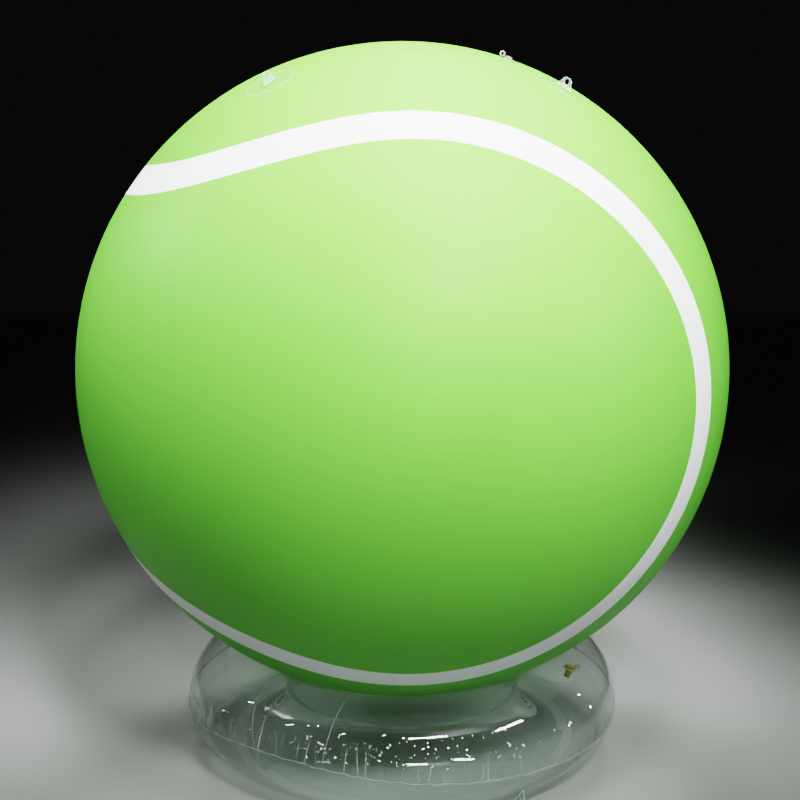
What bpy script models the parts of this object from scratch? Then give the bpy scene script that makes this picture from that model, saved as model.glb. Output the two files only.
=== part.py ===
"""Giant inflatable crowd ball with a waved stripe, seated on a clear inflatable ring.

Metres, +Z up, -Y is the front. The origin is on the floor, under the ball's centre.
The ball is a film of two interlocking panels with a stripe between them, four eyelet
tabs round its crown and an inflation valve. The ring is an upper and a lower film
panel welded at an outer and an inner seam, with three eyelet tabs and its own valve.
"""
import math

import bmesh
import bpy
from mathutils import Euler, Matrix, Vector

# Driving dimensions
GAP = 0.0003                    # clearance between touching pieces
BALL_RADIUS = 0.900
BALL_WALL = 0.010
BALL_TURN = (-87.1, 40.8, 78.65)  # degrees about X, Y and Z: how the stripe lies

STRIPE_HALF_WIDTH = 0.0461      # along the ball's surface
STRIPE_HEIGHT = (1.055, -0.075)  # of the 2nd and 6th harmonic, along the ball's own axis
STRIPE_SWING = (1.0, 0.4986)    # of the 1st and 3rd harmonic, round that axis
PINCH = -0.125                  # how far the stripe drifts beside its rear bend
PINCH_PLACE = 0.961             # from the middle of that bend, in radians of the turn
PINCH_SPREAD = 0.187
STRIPE_STEPS = 96
SPINE_SWING = 1.8               # half length of a panel's middle line, in radians
PANEL_ROWS = 6
STRIPE_ROWS = 2

TUBE_RADIUS = 0.140
RING_RADIUS = 0.479             # of the tube's centre line
RING_WALL = 0.004
OUTER_FLANGE = 0.006            # weld seam that stands out round the tube
INNER_FLANGE = 0.012
RING_STEPS = 48
TUBE_FACETS = 10                # in the half tube of one panel

TAB_POLAR = 35.0                # degrees from the ball's top
TAB_AZIMUTHS = (-38.5, 51.5, 141.5, 231.5)  # degrees from the front, towards +X
RING_TAB_AZIMUTHS = (30.0, 155.0, -80.0)
RING_TAB_TILT = -42.0           # degrees round the tube from its outermost line
BALL_PATCH_RADIUS = 0.0675
RING_PATCH_RADIUS = 0.046
PATCH_THICKNESS = 0.002
PATCH_RINGS = 3
PATCH_STEPS = 24

PLATE_BASE = 0.048
PLATE_SHOULDER = 0.003          # upright end of the plate's base
PLATE_HEIGHT = 0.027
PLATE_THICKNESS = 0.003
EYE_RADIUS = 0.0069
EYE_HEIGHT = 0.0167
FOOT_WIDTH = 0.010
FOOT_HEIGHT = 0.0022
ARC_STEPS = 12

VALVE_POLAR = 23.8
VALVE_AZIMUTH = 48.8
VALVE_TWIST = -143.0            # about the valve's axis: where the pull ear points
RING_VALVE_AZIMUTH = 60.0
RING_VALVE_TILT = 72.0
RING_VALVE_TWIST = 40.0
NECK_RADIUS = 0.0085
BORE_RADIUS = 0.0060
FLANGE_RADIUS = 0.0170
FLANGE_THICKNESS = 0.0025
NECK_DEPTH = 0.024
PLUG_HEAD_RADIUS = 0.0090
PLUG_HEAD_HEIGHT = 0.0050
PLUG_DEPTH = 0.016
EAR_RADIUS = 0.0078
EAR_EYE_RADIUS = 0.0030
EAR_THICKNESS = 0.0030
EAR_OFFSET = 0.0190             # of the ear's eye from the plug's axis
STRAP_THICKNESS = 0.0022
STRAP_WIDTH = 0.0070
VALVE_STEPS = 24

TUBE_HEIGHT = TUBE_RADIUS * math.cos(math.pi / (2 * TUBE_FACETS))
SEAT_REACH = BALL_RADIUS + TUBE_RADIUS + GAP  # between the centres of ball and tube
BALL_HEIGHT = TUBE_HEIGHT + math.sqrt(SEAT_REACH ** 2 - RING_RADIUS ** 2)
BALL_CENTRE = Vector((0.0, 0.0, BALL_HEIGHT))

# name: base colour, roughness, metallic, alpha
FINISHES = {
    "lime_film": ((0.32, 0.73, 0.10, 1.0), 0.32, 0.0, 1.0),
    "white_film": ((0.78, 0.84, 0.80, 1.0), 0.32, 0.0, 1.0),
    "clear_film": ((0.80, 0.88, 0.86, 1.0), 0.08, 0.0, 0.25),
    "valve_white": ((0.85, 0.82, 0.79, 1.0), 0.40, 0.0, 1.0),
}


def clear_scene():
    """Remove every object of the open file."""
    for item in list(bpy.data.objects):
        bpy.data.objects.remove(item, do_unlink=True)


def collection(name):
    """Return a new collection in the scene."""
    made = bpy.data.collections.new(name)
    bpy.context.scene.collection.children.link(made)
    return made


def material(owner, finish):
    """Return one Principled material, named for its object."""
    colour, roughness, metallic, alpha = FINISHES[finish]
    made = bpy.data.materials.new(f"{owner}_{finish}")
    made.use_nodes = True
    shader = made.node_tree.nodes["Principled BSDF"]
    shader.inputs["Base Color"].default_value = colour
    shader.inputs["Roughness"].default_value = roughness
    shader.inputs["Metallic"].default_value = metallic
    shader.inputs["Alpha"].default_value = alpha
    made.diffuse_color = (*colour[:3], alpha)
    return made


def place(name, mesh, finish, where, matrix=Matrix.Identity(4)):
    """Put a mesh in a collection as a named object with its own material."""
    item = bpy.data.objects.new(name, mesh)
    item.matrix_world = matrix
    where.objects.link(item)
    if finish:
        mesh.materials.clear()
        mesh.materials.append(material(name, finish))
    return item


def mesh_from(bm, name):
    """Turn a bmesh into a mesh with its faces pointing out, and free it."""
    bmesh.ops.recalc_face_normals(bm, faces=bm.faces[:])
    mesh = bpy.data.meshes.new(name)
    bm.to_mesh(mesh)
    bm.free()
    return mesh


def baked(item):
    """Return an object's evaluated mesh, welded, and remove the object."""
    bpy.context.view_layer.update()
    seen = item.evaluated_get(bpy.context.evaluated_depsgraph_get())
    mesh = bpy.data.meshes.new_from_object(seen)
    bm = bmesh.new()
    bm.from_mesh(mesh)
    bmesh.ops.remove_doubles(bm, verts=bm.verts[:], dist=1e-6)
    bm.to_mesh(mesh)
    bm.free()
    bpy.data.objects.remove(item, do_unlink=True)
    return mesh


def boolean(item, cutter, operation):
    """Add an exact Boolean modifier, and hide its cutter."""
    change = item.modifiers.new(operation.lower(), "BOOLEAN")
    change.operation = operation
    change.object = cutter
    change.solver = "EXACT"
    cutter.hide_render = True
    cutter.display_type = "WIRE"


# The ball's film

def even_line(turn):
    """Unit direction on the even curve of a stripe, closed over one turn of 2 pi."""
    once, thrice = STRIPE_SWING
    twice, sixth = STRIPE_HEIGHT
    x = once * math.cos(turn) + thrice * math.cos(3 * turn)
    y = once * math.sin(turn) - thrice * math.sin(3 * turn)
    z = twice * math.sin(2 * turn) + sixth * math.sin(6 * turn)
    return Vector((x, y, z)).normalized()


def beside(line, turn, offset):
    """Unit direction beside a line on the ball, at an offset along the surface."""
    step = 1e-3
    middle = line(turn)
    along = line(turn + step) - line(turn - step)
    side = middle.cross(along).normalized()
    angle = offset / BALL_RADIUS
    return middle * math.cos(angle) + side * math.sin(angle)


def stripe_middle(turn):
    """The even curve, pinched on both sides of its rear bend."""
    from_bend = abs(math.remainder(turn - 1.5 * math.pi, 2 * math.pi))
    drift = PINCH * math.exp(-((from_bend - PINCH_PLACE) / PINCH_SPREAD) ** 2)
    return beside(even_line, turn, drift)


def stripe_side(turn, offset):
    """Unit direction beside the stripe's middle line, at an offset on the surface."""
    return beside(stripe_middle, turn, offset)


def spine(turn, pole):
    """Unit direction on the middle line of a panel: an arc over one of the two poles."""
    angle = SPINE_SWING * math.cos(turn + pole * math.pi / 4)
    across = Vector((1.0, -pole, 0.0)).normalized()
    return Vector((0.0, 0.0, pole)) * math.cos(angle) + across * math.sin(angle)


def panel(pole):
    """Return the function that gives the points of the panel over a pole, 1 or -1."""
    edge = pole * (STRIPE_HALF_WIDTH + GAP / 2)

    def panel_point(u, v):
        """Unit direction: v runs from the panel's middle line to the stripe's edge."""
        turn = 2 * math.pi * u
        return spine(turn, pole).slerp(stripe_side(turn, edge), v)

    return panel_point


def stripe_point(u, v):
    """Unit direction on the stripe: v runs across it."""
    half = STRIPE_HALF_WIDTH - GAP / 2
    return stripe_side(2 * math.pi * u, half * (2 * v - 1))


def film(name, rows, direction):
    """Return the closed mesh of a film that lies on the ball, walls along its radii."""
    bm = bmesh.new()
    bmesh.ops.create_grid(bm, x_segments=STRIPE_STEPS, y_segments=rows, size=0.5)
    for vert in bm.verts:
        vert.co = direction(vert.co.x + 0.5, vert.co.y + 0.5) * BALL_RADIUS
    bmesh.ops.remove_doubles(bm, verts=bm.verts[:], dist=1e-4)
    inner = bmesh.ops.extrude_face_region(bm, geom=bm.faces[:], use_keep_orig=True)
    for vert in inner["geom"]:
        if isinstance(vert, bmesh.types.BMVert):
            vert.co *= 1 - BALL_WALL / BALL_RADIUS
    bmesh.ops.triangulate(bm, faces=bm.faces[:])
    return mesh_from(bm, name)


def ball_frame():
    """Matrix from the ball's own frame to the world."""
    turn = Euler([math.radians(angle) for angle in BALL_TURN], "XYZ")
    return Matrix.Translation(BALL_CENTRE) @ turn.to_matrix().to_4x4()


def build_envelope(parts):
    """Two interlocking lime panels and a white stripe; returns the valve's panel."""
    frame = ball_frame()
    panel_a = film("envelope_panel_a", PANEL_ROWS, panel(1))
    panel_b = film("envelope_panel_b", PANEL_ROWS, panel(-1))
    stripe = film("envelope_stripe", STRIPE_ROWS, stripe_point)
    place("envelope_panel_a", panel_a, "lime_film", parts, frame)
    panel_b = place("envelope_panel_b", panel_b, "lime_film", parts, frame)
    place("envelope_stripe", stripe, "white_film", parts, frame)
    return panel_b


# The ring's film

def half_tube_outline():
    """Radius and height of one ring panel's section, from its inner seam outwards."""
    half_step = math.pi / (2 * TUBE_FACETS)
    angles = [half_step * (2 * k + 1) for k in range(TUBE_FACETS)]
    bore = TUBE_RADIUS - RING_WALL
    outer = [(-TUBE_RADIUS * math.cos(a), TUBE_RADIUS * math.sin(a)) for a in angles]
    inner = [(-bore * math.cos(a), bore * math.sin(a)) for a in reversed(angles)]
    inner = [point for point in inner if point[1] > RING_WALL + GAP]
    low = GAP / 2
    high = RING_WALL
    outline = [(-TUBE_RADIUS - INNER_FLANGE, low), (-TUBE_RADIUS - INNER_FLANGE, high)]
    outline += [(-TUBE_RADIUS, high)] + outer + [(TUBE_RADIUS, high)]
    outline += [(TUBE_RADIUS + OUTER_FLANGE, high), (TUBE_RADIUS + OUTER_FLANGE, low)]
    outline += [(bore, low)] + inner + [(-bore, low)]
    return [(RING_RADIUS + x, z) for x, z in outline]


def ring_panel(name, up, parts):
    """Turn one film panel of the ring about the ring's axis."""
    bm = bmesh.new()
    outline = half_tube_outline()
    corners = [bm.verts.new((radius, 0.0, TUBE_HEIGHT + up * z)) for radius, z in outline]
    for k, corner in enumerate(corners):
        bm.edges.new((corners[k - 1], corner))
    mesh = bpy.data.meshes.new(name)
    bm.to_mesh(mesh)
    bm.free()
    item = place(name, mesh, "clear_film", parts)
    turn = item.modifiers.new("turn", "SCREW")
    turn.axis = "Z"
    turn.angle = 2 * math.pi
    turn.steps = RING_STEPS
    turn.render_steps = RING_STEPS
    turn.use_merge_vertices = True
    turn.merge_threshold = 0.0001
    turn.use_normal_calculate = True
    turn.use_normal_flip = up < 0
    turn.use_smooth_shade = True
    return item


# Frames on the two surfaces

def facing(azimuth):
    """Unit direction at an azimuth in degrees from the front, towards +X."""
    angle = math.radians(azimuth)
    return Vector((math.sin(angle), -math.cos(angle), 0.0))


def seat(point, along, normal):
    """Matrix with X along a surface, Y out of it and its origin on it."""
    columns = (along, normal, along.cross(normal))
    return Matrix.Translation(point) @ Matrix(columns).transposed().to_4x4()


def ball_seat(azimuth, polar, height):
    """Seat on the ball, X running down from its top."""
    angle = math.radians(polar)
    out = facing(azimuth)
    normal = out * math.sin(angle) + Vector((0.0, 0.0, math.cos(angle)))
    along = out * math.cos(angle) - Vector((0.0, 0.0, math.sin(angle)))
    return seat(BALL_CENTRE + normal * (BALL_RADIUS + height), along, normal)


def tube_point(azimuth, tilt, height):
    """Point at a height over the ring's tube, angles in radians."""
    out = Vector((math.sin(azimuth), -math.cos(azimuth), 0.0))
    reach = TUBE_RADIUS + height
    radius = RING_RADIUS + reach * math.cos(tilt)
    return out * radius + Vector((0.0, 0.0, TUBE_HEIGHT + reach * math.sin(tilt)))


def ring_seat(azimuth, tilt, height):
    """Seat on the ring's tube, X running round the tube, downwards."""
    angle = math.radians(tilt)
    out = facing(azimuth)
    normal = out * math.cos(angle) + Vector((0.0, 0.0, math.sin(angle)))
    along = out * math.sin(angle) - Vector((0.0, 0.0, math.cos(angle)))
    point = tube_point(math.radians(azimuth), angle, height)
    return seat(point, along, normal)


# Eyelet tabs

def disc(radius):
    """Return a flat disc's bmesh of rings and spokes, with its face up."""
    bm = bmesh.new()
    spoke = [bm.verts.new((radius * k / PATCH_RINGS, 0.0, 0.0)) for k in range(PATCH_RINGS + 1)]
    edges = [bm.edges.new(pair) for pair in zip(spoke, spoke[1:])]
    bmesh.ops.spin(bm, geom=spoke + edges, cent=(0, 0, 0), axis=(0, 0, 1),
                   angle=2 * math.pi, steps=PATCH_STEPS)
    bmesh.ops.remove_doubles(bm, verts=bm.verts[:], dist=1e-5)
    return bm


def patch(name, radius, bend, parts):
    """A welded round patch: a disc bent on to the film, then thickened."""
    bm = disc(radius)
    for vert in bm.verts:
        vert.co = bend(vert.co.x, vert.co.y)
    skin = bmesh.ops.extrude_face_region(bm, geom=bm.faces[:], use_keep_orig=True)
    raised = [item for item in skin["geom"] if isinstance(item, bmesh.types.BMVert)]
    for vert in raised:
        vert.co += bend.outwards(vert.co) * PATCH_THICKNESS
    return place(name, mesh_from(bm, name), "clear_film", parts)


class BallBend:
    """Carries a flat point on to the ball round a seat."""

    def __init__(self, azimuth, polar):
        self.seat = ball_seat(azimuth, polar, GAP)

    def __call__(self, x, y):
        reach = BALL_RADIUS + GAP
        flat = Vector((x, 0.0, y))
        angle = flat.length / reach
        if angle == 0.0:
            return self.seat.translation.copy()
        rim = flat.normalized() * math.sin(angle) + Vector((0.0, math.cos(angle) - 1, 0.0))
        return self.seat @ (rim * reach)

    def outwards(self, point):
        """Unit direction out of the ball at a point."""
        return (point - BALL_CENTRE).normalized()


class RingBend:
    """Carries a flat point on to the ring's tube round a seat."""

    def __init__(self, azimuth, tilt):
        self.azimuth = math.radians(azimuth)
        self.tilt = math.radians(tilt)

    def __call__(self, x, y):
        tilt = self.tilt + x / TUBE_RADIUS
        radius = RING_RADIUS + TUBE_RADIUS * math.cos(self.tilt)
        return tube_point(self.azimuth + y / radius, tilt, GAP)

    def outwards(self, point):
        """Unit direction out of the tube at a point."""
        flat = Vector((point.x, point.y, 0.0)).normalized() * RING_RADIUS
        return (point - flat - Vector((0.0, 0.0, TUBE_HEIGHT))).normalized()


def poly_spline(curve, points):
    """Add one closed straight-sided spline to a curve."""
    spline = curve.splines.new("POLY")
    spline.points.add(len(points) - 1)
    for slot, (x, y) in zip(spline.points, points):
        slot.co = (x, y, 0.0, 1.0)
    spline.use_cyclic_u = True


def flat_plate(name, outline, hole, thickness, parts):
    """A plate from a flat outline with one hole, as an object at the origin."""
    curve = bpy.data.curves.new(name, "CURVE")
    curve.dimensions = "2D"
    curve.fill_mode = "BOTH"
    curve.extrude = thickness / 2
    poly_spline(curve, outline)
    poly_spline(curve, hole)
    item = bpy.data.objects.new(name, curve)
    parts.objects.link(item)
    return item


def arc(centre, radius, start, end, steps):
    """Points on an arc from a start to an end angle, in radians."""
    x, y = centre
    angles = [start + (end - start) * k / steps for k in range(steps + 1)]
    return [(x + radius * math.cos(a), y + radius * math.sin(a)) for a in angles]


def plate_outline():
    """The eyelet plate's outline: a wide base drawn in to a round top."""
    half = PLATE_BASE / 2
    top = PLATE_HEIGHT - EYE_HEIGHT
    drop = PLATE_SHOULDER - EYE_HEIGHT
    start = math.atan2(drop, half) + math.acos(top / math.hypot(half, drop))
    arched = arc((0.0, EYE_HEIGHT), top, start, math.pi - start, ARC_STEPS)
    return [(half, FOOT_HEIGHT / 2), (half, PLATE_SHOULDER)] + arched + [
        (-half, PLATE_SHOULDER), (-half, FOOT_HEIGHT / 2)]


def block(name, size, middle, where):
    """A box with its size and its middle, as an object."""
    bm = bmesh.new()
    shape = Matrix.Translation(middle) @ Matrix.Diagonal((*size, 1.0))
    bmesh.ops.create_cube(bm, size=1.0, matrix=shape)
    return place(name, mesh_from(bm, name), None, where)


def joined(base, additions):
    """Unite an object with others and return the welded mesh, removing them all."""
    for item in additions:
        boolean(base, item, "UNION")
    mesh = baked(base)
    for item in additions:
        bpy.data.objects.remove(item, do_unlink=True)
    return mesh


def eyelet_mesh(parts, cutters):
    """The eyelet plate on its foot, X along the base and Y out of the film."""
    eye = arc((0.0, EYE_HEIGHT), EYE_RADIUS, 0.0, 2 * math.pi, 2 * ARC_STEPS)[:-1]
    raw = flat_plate("eyelet_raw", plate_outline(), eye, PLATE_THICKNESS, parts)
    upright = place("eyelet_upright", baked(raw), None, parts)
    size = (PLATE_BASE + FOOT_WIDTH / 2, FOOT_HEIGHT, FOOT_WIDTH)
    foot = block("eyelet_foot", size, (0.0, FOOT_HEIGHT / 2, 0.0), cutters)
    return joined(upright, [foot])


def build_tabs(parts, cutters):
    """Round patches and eyelet plates, on the ball's crown and under the ring's seam."""
    eyelet = eyelet_mesh(parts, cutters)
    lift = 2 * GAP + PATCH_THICKNESS
    for number, azimuth in enumerate(TAB_AZIMUTHS, 1):
        patch(f"ball_tab_patch_{number}", BALL_PATCH_RADIUS, BallBend(azimuth, TAB_POLAR), parts)
        place(f"ball_tab_plate_{number}", eyelet.copy(), "clear_film", parts,
              ball_seat(azimuth, TAB_POLAR, lift))
    for number, azimuth in enumerate(RING_TAB_AZIMUTHS, 1):
        patch(f"ring_tab_patch_{number}", RING_PATCH_RADIUS,
              RingBend(azimuth, RING_TAB_TILT), parts)
        place(f"ring_tab_plate_{number}", eyelet.copy(), "clear_film", parts,
              ring_seat(azimuth, RING_TAB_TILT, lift))


# Valves

def turned(name, profile, where):
    """A solid turned about Y from an outline of radius and height, open on the axis."""
    bm = bmesh.new()
    corners = [bm.verts.new((radius, height, 0.0)) for radius, height in profile]
    pairs = list(zip(corners, corners[1:]))
    if profile[0][0] > 0.0:
        pairs.append((corners[-1], corners[0]))
    edges = [bm.edges.new(pair) for pair in pairs]
    bmesh.ops.spin(bm, geom=corners + edges, cent=(0, 0, 0), axis=(0, 1, 0),
                   angle=2 * math.pi, steps=VALVE_STEPS)
    bmesh.ops.remove_doubles(bm, verts=bm.verts[:], dist=1e-6)
    return place(name, mesh_from(bm, name), None, where)


def valve_body_mesh(parts):
    """A flange on the film and a hollow neck through it."""
    profile = [(BORE_RADIUS, -NECK_DEPTH), (NECK_RADIUS, -NECK_DEPTH), (NECK_RADIUS, GAP),
               (FLANGE_RADIUS, GAP), (FLANGE_RADIUS, FLANGE_THICKNESS),
               (BORE_RADIUS, FLANGE_THICKNESS)]
    return baked(turned("valve_body_raw", profile, parts))


def plug_mesh(parts, cutters):
    """A stem in the neck's bore, a round head over the flange, a strap and a pull ear."""
    stem = BORE_RADIUS - GAP
    base = FLANGE_THICKNESS + GAP
    top = base + PLUG_HEAD_HEIGHT
    chamfer = PLUG_HEAD_HEIGHT / 5
    profile = [(0.0, -PLUG_DEPTH), (stem, -PLUG_DEPTH), (stem, base),
               (PLUG_HEAD_RADIUS, base), (PLUG_HEAD_RADIUS, top - chamfer),
               (PLUG_HEAD_RADIUS - chamfer, top), (0.0, top)]
    head = turned("plug_head", profile, parts)
    strap_size = (EAR_OFFSET, STRAP_THICKNESS, STRAP_WIDTH)
    strap_middle = (EAR_OFFSET / 2, base + STRAP_THICKNESS / 2, 0.0)
    strap = block("plug_strap", strap_size, strap_middle, cutters)
    centre = (EAR_OFFSET, base + EAR_RADIUS)
    rim = arc(centre, EAR_RADIUS, 0.0, 2 * math.pi, 2 * ARC_STEPS)[:-1]
    eye = arc(centre, EAR_EYE_RADIUS, 0.0, 2 * math.pi, ARC_STEPS)[:-1]
    raw = flat_plate("plug_ear_raw", rim, eye, EAR_THICKNESS, cutters)
    ear = place("plug_ear", baked(raw), None, cutters)
    return joined(head, [strap, ear])


def neck_hole(name, matrix, where):
    """The cutter for a neck's hole through a film."""
    bm = bmesh.new()
    upright = Matrix.Rotation(math.pi / 2, 4, "X")
    radius = NECK_RADIUS + GAP
    bmesh.ops.create_cone(bm, cap_ends=True, segments=VALVE_STEPS, radius1=radius,
                          radius2=radius, depth=2 * NECK_DEPTH, matrix=upright)
    return place(name, mesh_from(bm, name), None, where, matrix)


def build_valves(films, parts, cutters):
    """A valve through the ball's film and one through the ring's upper film."""
    body = valve_body_mesh(parts)
    plug = plug_mesh(parts, cutters)
    seats = {"ball": (ball_seat(VALVE_AZIMUTH, VALVE_POLAR, 0.0), VALVE_TWIST),
             "ring": (ring_seat(RING_VALVE_AZIMUTH, RING_VALVE_TILT, 0.0), RING_VALVE_TWIST)}
    for owner, (flat, twist) in seats.items():
        matrix = flat @ Matrix.Rotation(math.radians(twist), 4, "Y")
        boolean(films[owner], neck_hole(f"{owner}_valve_hole", matrix, cutters), "DIFFERENCE")
        place(f"{owner}_valve_body", body.copy(), "valve_white", parts, matrix)
        place(f"{owner}_valve_plug", plug.copy(), "valve_white", parts, matrix)


def main():
    """Build the whole ball and its ring."""
    clear_scene()
    parts = collection("inflatable_crowd_ball")
    cutters = collection("cutters")
    panel = build_envelope(parts)
    upper = ring_panel("ring_panel_upper", 1, parts)
    ring_panel("ring_panel_lower", -1, parts)
    build_tabs(parts, cutters)
    build_valves({"ball": panel, "ring": upper}, parts, cutters)


main()
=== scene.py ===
"""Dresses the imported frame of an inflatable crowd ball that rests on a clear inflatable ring.

Metres, +Z up, -Y is the front. Each piece is a surface of two parameters, worked out with
numpy as whole arrays, and each material is procedural.
"""

import math

import bmesh
import bpy
import numpy as np
from bpy.props import FloatProperty, FloatVectorProperty, IntProperty, PointerProperty
from mathutils import Euler, Matrix, Vector


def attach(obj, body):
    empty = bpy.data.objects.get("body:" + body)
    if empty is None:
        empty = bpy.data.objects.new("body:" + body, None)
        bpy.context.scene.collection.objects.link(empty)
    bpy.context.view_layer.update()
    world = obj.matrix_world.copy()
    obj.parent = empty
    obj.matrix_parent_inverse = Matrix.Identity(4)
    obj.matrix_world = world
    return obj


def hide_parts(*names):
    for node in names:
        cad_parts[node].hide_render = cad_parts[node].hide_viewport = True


bl_info = {
    "name": "Inflatable crowd ball",
    "version": (1, 0, 0),
    "blender": (4, 5, 0),
    "location": "3D View > Sidebar > Crowd Ball",
    "description": "Builds the ball's film, its clear ring, the eyelet tabs and the valves",
    "category": "Object",
}

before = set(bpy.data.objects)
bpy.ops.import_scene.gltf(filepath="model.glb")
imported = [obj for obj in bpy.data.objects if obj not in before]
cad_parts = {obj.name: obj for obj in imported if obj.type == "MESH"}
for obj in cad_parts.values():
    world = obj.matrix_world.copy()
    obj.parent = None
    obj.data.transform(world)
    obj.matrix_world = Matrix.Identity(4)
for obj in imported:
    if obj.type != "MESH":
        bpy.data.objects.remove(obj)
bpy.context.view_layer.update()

BODY = "root"
FULL_TURN = 2 * math.pi
TINY = 1e-9
WELD_DISTANCE = 1e-6  # points closer than this are merged
GAP = 0.0003  # between a film and what is welded on it

# Steps of the grids, and how much finer the ring's front is than its back
BALL_STEPS, PANEL_STEPS, STRIPE_STEPS = 480, 27, 9
RING_STEPS, UPPER_STEPS, LOWER_STEPS, INNER_WELD_STEPS = 1160, 57, 31, 480
PATCH_STEPS, LATHE_STEPS, FLOOR_STEPS = 96, 64, 96
FRONT_SHARE = 0.42

# Azimuths of the tabs in degrees from the front, and each valve's azimuth, angle and twist
TAB_AZIMUTHS = (-38.5, 51.5, 141.5, 231.5)
RING_TAB_AZIMUTHS = (30.0, 155.0, -80.0)
BALL_VALVE = (48.8, 23.8, -143.0)
RING_VALVE = (60.0, 72.0, 40.0)

# Each lap's two ends on the tube: azimuth and tilt in degrees
LAPS = (((-18.4, 5.0), (-15.2, 118.0)), ((-37.0, 9.0), (-47.6, 118.0)))

# Long folds: azimuth in degrees, then as in the table of pleats
FOLDS = ((-36.2, 0.0052, 0.66, 0.0075, 0.00, 0.6), (-44.6, 0.0030, 0.46, 0.0050, 0.02, -0.4),
         (-30.6, 0.0026, 0.40, 0.0045, -0.02, 0.5), (-24.9, 0.0036, 0.42, 0.0055, 0.01, -0.7),
         (42.5, 0.0032, 0.42, 0.0060, 0.02, 0.5), (48.5, 0.0028, 0.36, 0.0050, -0.03, -0.6))

# Sums of sines round the ring: each row is a size, a number of waves a turn and a phase
SEAM_LEVEL = -0.068
SEAM_WAVES = ((0.091, 1, -2.718), (0.0921, 2, 2.501), (0.0503, 3, 2.625),
              (0.0179, 4, -2.641), (0.0361, 5, -1.438))
RIPPLE_WARP = ((0.030, 5, 0.4), (0.018, 11, 1.9))
RIPPLE_WAVES = ((0.55, 67, 0.0), (0.35, 103, 1.0), (0.30, 29, 2.2))
GATHER_WARP = ((2.4, 9, 0.1), (1.1, 23, 1.7))
SWAY_WAVES = ((0.6, 9, 0.2), (0.4, 23, 1.4))
PUCKER_WAVES = ((0.5, 97, 0.3), (0.35, 151, 1.2), (0.3, 61, 2.0))
WELD_WAVES = ((0.7, 41, 0.6), (0.5, 131, 0.2))
LIP_WAVES = ((0.6, 53, 0.3), (0.4, 89, 1.2))
INNER_LIP_WAVES = ((1.0, 43, 0.0),)
INNER_WELD_WAVES = ((0.7, 31, 0.6), (0.5, 57, 0.2))

# Depths of the film's waves
GATHER_DEPTH, SWAY_DEPTH, PUCKER_DEPTH = 0.0006, 0.0007, 0.0011

# A patch's beads, each with its reach, width and height, and where its rim starts to round
PATCH_BEADS = ((0.955, 0.018, 1.0), (0.885, 0.014, 0.7))
PATCH_RIM = 0.965

# Thickness of an eyelet plate, and what the rim of its eye and its foot add
PLATE, EYE_RIM, PLATE_FOOT = 0.0024, 0.0022, 0.0072


# Settings

class BallSettings(bpy.types.PropertyGroup):
    """Sizes and colours of the ball's film."""

    radius: FloatProperty(
        name="Radius", description="Radius of the inflated ball", default=0.9, unit="LENGTH")
    height: FloatProperty(
        name="Centre height", description="Height of the ball's centre over the floor",
        default=1.061739, unit="LENGTH")
    wall: FloatProperty(
        name="Film", description="Thickness that the film is shown with", default=0.002,
        unit="LENGTH")
    turn: FloatVectorProperty(
        name="Turn", description="How the stripe lies, about X, Y and Z", size=3,
        subtype="EULER", default=[math.radians(angle) for angle in (-87.1, 40.8, 78.65)])
    stripe_half_width: FloatProperty(
        name="Stripe half width", description="Half the stripe's width on the surface",
        default=0.0461, unit="LENGTH")
    stripe_swing: FloatVectorProperty(
        name="Stripe swing", description="1st and 3rd harmonic of the stripe round its axis",
        size=2, default=(1.0, 0.4986))
    stripe_height: FloatVectorProperty(
        name="Stripe height", description="2nd and 6th harmonic of the stripe along its axis",
        size=2, default=(1.055, -0.075))
    pinch: FloatProperty(
        name="Pinch", description="How far the stripe drifts beside its rear bend",
        default=-0.125, unit="LENGTH")
    pinch_place: FloatProperty(
        name="Pinch place", description="Turn between the rear bend's middle and the drift",
        default=0.961)
    pinch_spread: FloatProperty(
        name="Pinch spread", description="Turn over which the drift fades", default=0.187)
    spine_swing: FloatProperty(
        name="Panel length", description="Half length of a panel's middle line",
        default=1.8, subtype="ANGLE")
    lime: FloatVectorProperty(
        name="Lime", description="Colour of the two panels", size=4, subtype="COLOR",
        min=0, max=1, default=(0.192, 0.54, 0.098, 1.0))
    lime_deep: FloatVectorProperty(
        name="Deep lime", description="Colour where the film looks thickest", size=4,
        subtype="COLOR", min=0, max=1, default=(0.182, 0.52, 0.091, 1.0))
    white: FloatVectorProperty(
        name="White", description="Colour of the stripe", size=4, subtype="COLOR",
        min=0, max=1, default=(0.88, 0.90, 0.91, 1.0))
    roughness: FloatProperty(
        name="Satin", description="Roughness of the coloured film", default=0.48,
        min=0, max=1, subtype="FACTOR")


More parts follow.
